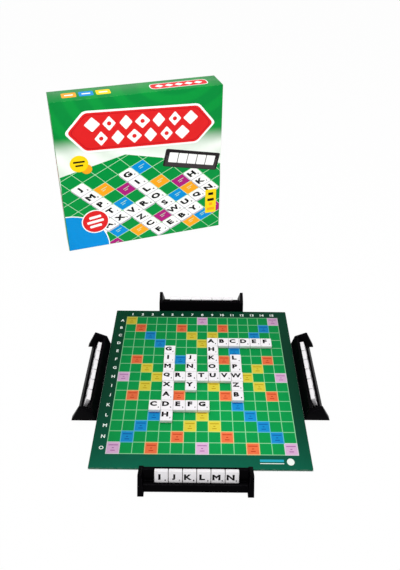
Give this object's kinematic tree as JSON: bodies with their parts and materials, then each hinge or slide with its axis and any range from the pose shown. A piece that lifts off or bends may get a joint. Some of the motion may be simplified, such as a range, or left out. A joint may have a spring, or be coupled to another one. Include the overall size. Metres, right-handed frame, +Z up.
{
  "type": "boxed word game",
  "caption": "Word game set out for play: gridded board, wooden letter tiles, racks with leaning tiles, and an upright lidded box holding a card insert, tile bag and rules.",
  "frame": {"origin": "middle of the board's underside, on the table", "axes": "+Z up, +Y across the board away from the near player and towards the box, +X to that player's right"},
  "size_m": [0.395, 0.5526, 0.27],
  "materials": {
    "board_print": "greyboard with a coated printed sheet, semi-gloss",
    "tile_paint": "hardwood painted ivory white, satin, letters printed in black",
    "rack_plastic": "moulded polystyrene, black, glossy",
    "lid_wrap": "greyboard wrapped in a printed, laminated sheet",
    "base_wrap": "greyboard wrapped in plain coated paper",
    "insert_card": "folded carton board, uncoated",
    "bag_cloth": "plain woven cotton, matt",
    "leaflet_paper": "folded printing paper, matt"
  },
  "bodies": {
    "root": {"game_board": "board_print", "box_base": "base_wrap", "card_insert": "insert_card", "tile_bag": "bag_cloth", "rules_leaflet": "leaflet_paper"},
    "box_lid": {"box_lid": "lid_wrap"},
    "rack_front": {"rack_front": "rack_plastic"},
    "rack_right": {"rack_right": "rack_plastic"},
    "rack_back": {"rack_back": "rack_plastic"},
    "rack_left": {"rack_left": "rack_plastic"},
    "front_tile_1": {"front_tile_1": "tile_paint"},
    "front_tile_2": {"front_tile_2": "tile_paint"},
    "front_tile_3": {"front_tile_3": "tile_paint"},
    "front_tile_4": {"front_tile_4": "tile_paint"},
    "front_tile_5": {"front_tile_5": "tile_paint"},
    "front_tile_6": {"front_tile_6": "tile_paint"},
    "right_tile_1": {"right_tile_1": "tile_paint"},
    "right_tile_2": {"right_tile_2": "tile_paint"},
    "right_tile_3": {"right_tile_3": "tile_paint"},
    "right_tile_4": {"right_tile_4": "tile_paint"},
    "right_tile_5": {"right_tile_5": "tile_paint"},
    "right_tile_6": {"right_tile_6": "tile_paint"},
    "tile_row_back": {"tile_row_back": "tile_paint"},
    "tile_row_left": {"tile_row_left": "tile_paint"},
    "tile_D09": {"tile_D09": "tile_paint"},
    "tile_D10": {"tile_D10": "tile_paint"},
    "tile_D11": {"tile_D11": "tile_paint"},
    "tile_D12": {"tile_D12": "tile_paint"},
    "tile_D13": {"tile_D13": "tile_paint"},
    "tile_D14": {"tile_D14": "tile_paint"},
    "tile_E05": {"tile_E05": "tile_paint"},
    "tile_E09": {"tile_E09": "tile_paint"},
    "tile_F05": {"tile_F05": "tile_paint"},
    "tile_F07": {"tile_F07": "tile_paint"},
    "tile_F09": {"tile_F09": "tile_paint"},
    "tile_F11": {"tile_F11": "tile_paint"},
    "tile_G05": {"tile_G05": "tile_paint"},
    "tile_G07": {"tile_G07": "tile_paint"},
    "tile_G09": {"tile_G09": "tile_paint"},
    "tile_G11": {"tile_G11": "tile_paint"},
    "tile_H05": {"tile_H05": "tile_paint"},
    "tile_H06": {"tile_H06": "tile_paint"},
    "tile_H07": {"tile_H07": "tile_paint"},
    "tile_H08": {"tile_H08": "tile_paint"},
    "tile_H09": {"tile_H09": "tile_paint"},
    "tile_H10": {"tile_H10": "tile_paint"},
    "tile_H11": {"tile_H11": "tile_paint"},
    "tile_I05": {"tile_I05": "tile_paint"},
    "tile_I07": {"tile_I07": "tile_paint"},
    "tile_I11": {"tile_I11": "tile_paint"},
    "tile_J05": {"tile_J05": "tile_paint"},
    "tile_J11": {"tile_J11": "tile_paint"},
    "tile_K04": {"tile_K04": "tile_paint"},
    "tile_K05": {"tile_K05": "tile_paint"},
    "tile_K06": {"tile_K06": "tile_paint"},
    "tile_K07": {"tile_K07": "tile_paint"},
    "tile_K08": {"tile_K08": "tile_paint"},
    "tile_L05": {"tile_L05": "tile_paint"}
  },
  "joints": [
    {"name": "box_lid_slide", "type": "slide", "parent": "root", "child": "box_lid", "axis": [0.3074, -0.9516, 0], "range_m": [0, 0.06]},
    {"name": "rack_front_slide", "type": "slide", "parent": "root", "child": "rack_front", "axis": [0, -1, 0], "range_m": [0, 0.04]},
    {"name": "rack_right_slide", "type": "slide", "parent": "root", "child": "rack_right", "axis": [1, 0, 0], "range_m": [0, 0.04]},
    {"name": "rack_back_slide", "type": "slide", "parent": "root", "child": "rack_back", "axis": [0, 1, 0], "range_m": [0, 0.04]},
    {"name": "rack_left_slide", "type": "slide", "parent": "root", "child": "rack_left", "axis": [-1, 0, 0], "range_m": [0, 0.04]},
    {"name": "front_tile_1_lift", "type": "slide", "parent": "rack_front", "child": "front_tile_1", "axis": [0, 0.342, 0.9397], "range_m": [0, 0.016]},
    {"name": "front_tile_2_lift", "type": "slide", "parent": "rack_front", "child": "front_tile_2", "axis": [0, 0.342, 0.9397], "range_m": [0, 0.016]},
    {"name": "front_tile_3_lift", "type": "slide", "parent": "rack_front", "child": "front_tile_3", "axis": [0, 0.342, 0.9397], "range_m": [0, 0.016]},
    {"name": "front_tile_4_lift", "type": "slide", "parent": "rack_front", "child": "front_tile_4", "axis": [0, 0.342, 0.9397], "range_m": [0, 0.016]},
    {"name": "front_tile_5_lift", "type": "slide", "parent": "rack_front", "child": "front_tile_5", "axis": [0, 0.342, 0.9397], "range_m": [0, 0.016]},
    {"name": "front_tile_6_lift", "type": "slide", "parent": "rack_front", "child": "front_tile_6", "axis": [0, 0.342, 0.9397], "range_m": [0, 0.016]},
    {"name": "right_tile_1_lift", "type": "slide", "parent": "rack_right", "child": "right_tile_1", "axis": [-0.342, 0, 0.9397], "range_m": [0, 0.016]},
    {"name": "right_tile_2_lift", "type": "slide", "parent": "rack_right", "child": "right_tile_2", "axis": [-0.342, 0, 0.9397], "range_m": [0, 0.016]},
    {"name": "right_tile_3_lift", "type": "slide", "parent": "rack_right", "child": "right_tile_3", "axis": [-0.342, 0, 0.9397], "range_m": [0, 0.016]},
    {"name": "right_tile_4_lift", "type": "slide", "parent": "rack_right", "child": "right_tile_4", "axis": [-0.342, 0, 0.9397], "range_m": [0, 0.016]},
    {"name": "right_tile_5_lift", "type": "slide", "parent": "rack_right", "child": "right_tile_5", "axis": [-0.342, 0, 0.9397], "range_m": [0, 0.016]},
    {"name": "right_tile_6_lift", "type": "slide", "parent": "rack_right", "child": "right_tile_6", "axis": [-0.342, 0, 0.9397], "range_m": [0, 0.016]},
    {"name": "tile_row_back_lift", "type": "slide", "parent": "rack_back", "child": "tile_row_back", "axis": [0, -0.342, 0.9397], "range_m": [0, 0.016]},
    {"name": "tile_row_left_lift", "type": "slide", "parent": "rack_left", "child": "tile_row_left", "axis": [0.342, 0, 0.9397], "range_m": [0, 0.016]},
    {"name": "tile_D09_lift", "type": "slide", "parent": "root", "child": "tile_D09", "axis": [0, 0, 1], "range_m": [0, 0.02]},
    {"name": "tile_D10_lift", "type": "slide", "parent": "root", "child": "tile_D10", "axis": [0, 0, 1], "range_m": [0, 0.02]},
    {"name": "tile_D11_lift", "type": "slide", "parent": "root", "child": "tile_D11", "axis": [0, 0, 1], "range_m": [0, 0.02]},
    {"name": "tile_D12_lift", "type": "slide", "parent": "root", "child": "tile_D12", "axis": [0, 0, 1], "range_m": [0, 0.02]},
    {"name": "tile_D13_lift", "type": "slide", "parent": "root", "child": "tile_D13", "axis": [0, 0, 1], "range_m": [0, 0.02]},
    {"name": "tile_D14_lift", "type": "slide", "parent": "root", "child": "tile_D14", "axis": [0, 0, 1], "range_m": [0, 0.02]},
    {"name": "tile_E05_lift", "type": "slide", "parent": "root", "child": "tile_E05", "axis": [0, 0, 1], "range_m": [0, 0.02]},
    {"name": "tile_E09_lift", "type": "slide", "parent": "root", "child": "tile_E09", "axis": [0, 0, 1], "range_m": [0, 0.02]},
    {"name": "tile_F05_lift", "type": "slide", "parent": "root", "child": "tile_F05", "axis": [0, 0, 1], "range_m": [0, 0.02]},
    {"name": "tile_F07_lift", "type": "slide", "parent": "root", "child": "tile_F07", "axis": [0, 0, 1], "range_m": [0, 0.02]},
    {"name": "tile_F09_lift", "type": "slide", "parent": "root", "child": "tile_F09", "axis": [0, 0, 1], "range_m": [0, 0.02]},
    {"name": "tile_F11_lift", "type": "slide", "parent": "root", "child": "tile_F11", "axis": [0, 0, 1], "range_m": [0, 0.02]},
    {"name": "tile_G05_lift", "type": "slide", "parent": "root", "child": "tile_G05", "axis": [0, 0, 1], "range_m": [0, 0.02]},
    {"name": "tile_G07_lift", "type": "slide", "parent": "root", "child": "tile_G07", "axis": [0, 0, 1], "range_m": [0, 0.02]},
    {"name": "tile_G09_lift", "type": "slide", "parent": "root", "child": "tile_G09", "axis": [0, 0, 1], "range_m": [0, 0.02]},
    {"name": "tile_G11_lift", "type": "slide", "parent": "root", "child": "tile_G11", "axis": [0, 0, 1], "range_m": [0, 0.02]},
    {"name": "tile_H05_lift", "type": "slide", "parent": "root", "child": "tile_H05", "axis": [0, 0, 1], "range_m": [0, 0.02]},
    {"name": "tile_H06_lift", "type": "slide", "parent": "root", "child": "tile_H06", "axis": [0, 0, 1], "range_m": [0, 0.02]},
    {"name": "tile_H07_lift", "type": "slide", "parent": "root", "child": "tile_H07", "axis": [0, 0, 1], "range_m": [0, 0.02]},
    {"name": "tile_H08_lift", "type": "slide", "parent": "root", "child": "tile_H08", "axis": [0, 0, 1], "range_m": [0, 0.02]},
    {"name": "tile_H09_lift", "type": "slide", "parent": "root", "child": "tile_H09", "axis": [0, 0, 1], "range_m": [0, 0.02]},
    {"name": "tile_H10_lift", "type": "slide", "parent": "root", "child": "tile_H10", "axis": [0, 0, 1], "range_m": [0, 0.02]},
    {"name": "tile_H11_lift", "type": "slide", "parent": "root", "child": "tile_H11", "axis": [0, 0, 1], "range_m": [0, 0.02]},
    {"name": "tile_I05_lift", "type": "slide", "parent": "root", "child": "tile_I05", "axis": [0, 0, 1], "range_m": [0, 0.02]},
    {"name": "tile_I07_lift", "type": "slide", "parent": "root", "child": "tile_I07", "axis": [0, 0, 1], "range_m": [0, 0.02]},
    {"name": "tile_I11_lift", "type": "slide", "parent": "root", "child": "tile_I11", "axis": [0, 0, 1], "range_m": [0, 0.02]},
    {"name": "tile_J05_lift", "type": "slide", "parent": "root", "child": "tile_J05", "axis": [0, 0, 1], "range_m": [0, 0.02]},
    {"name": "tile_J11_lift", "type": "slide", "parent": "root", "child": "tile_J11", "axis": [0, 0, 1], "range_m": [0, 0.02]},
    {"name": "tile_K04_lift", "type": "slide", "parent": "root", "child": "tile_K04", "axis": [0, 0, 1], "range_m": [0, 0.02]},
    {"name": "tile_K05_lift", "type": "slide", "parent": "root", "child": "tile_K05", "axis": [0, 0, 1], "range_m": [0, 0.02]},
    {"name": "tile_K06_lift", "type": "slide", "parent": "root", "child": "tile_K06", "axis": [0, 0, 1], "range_m": [0, 0.02]},
    {"name": "tile_K07_lift", "type": "slide", "parent": "root", "child": "tile_K07", "axis": [0, 0, 1], "range_m": [0, 0.02]},
    {"name": "tile_K08_lift", "type": "slide", "parent": "root", "child": "tile_K08", "axis": [0, 0, 1], "range_m": [0, 0.02]},
    {"name": "tile_L05_lift", "type": "slide", "parent": "root", "child": "tile_L05", "axis": [0, 0, 1], "range_m": [0, 0.02]}
  ]
}
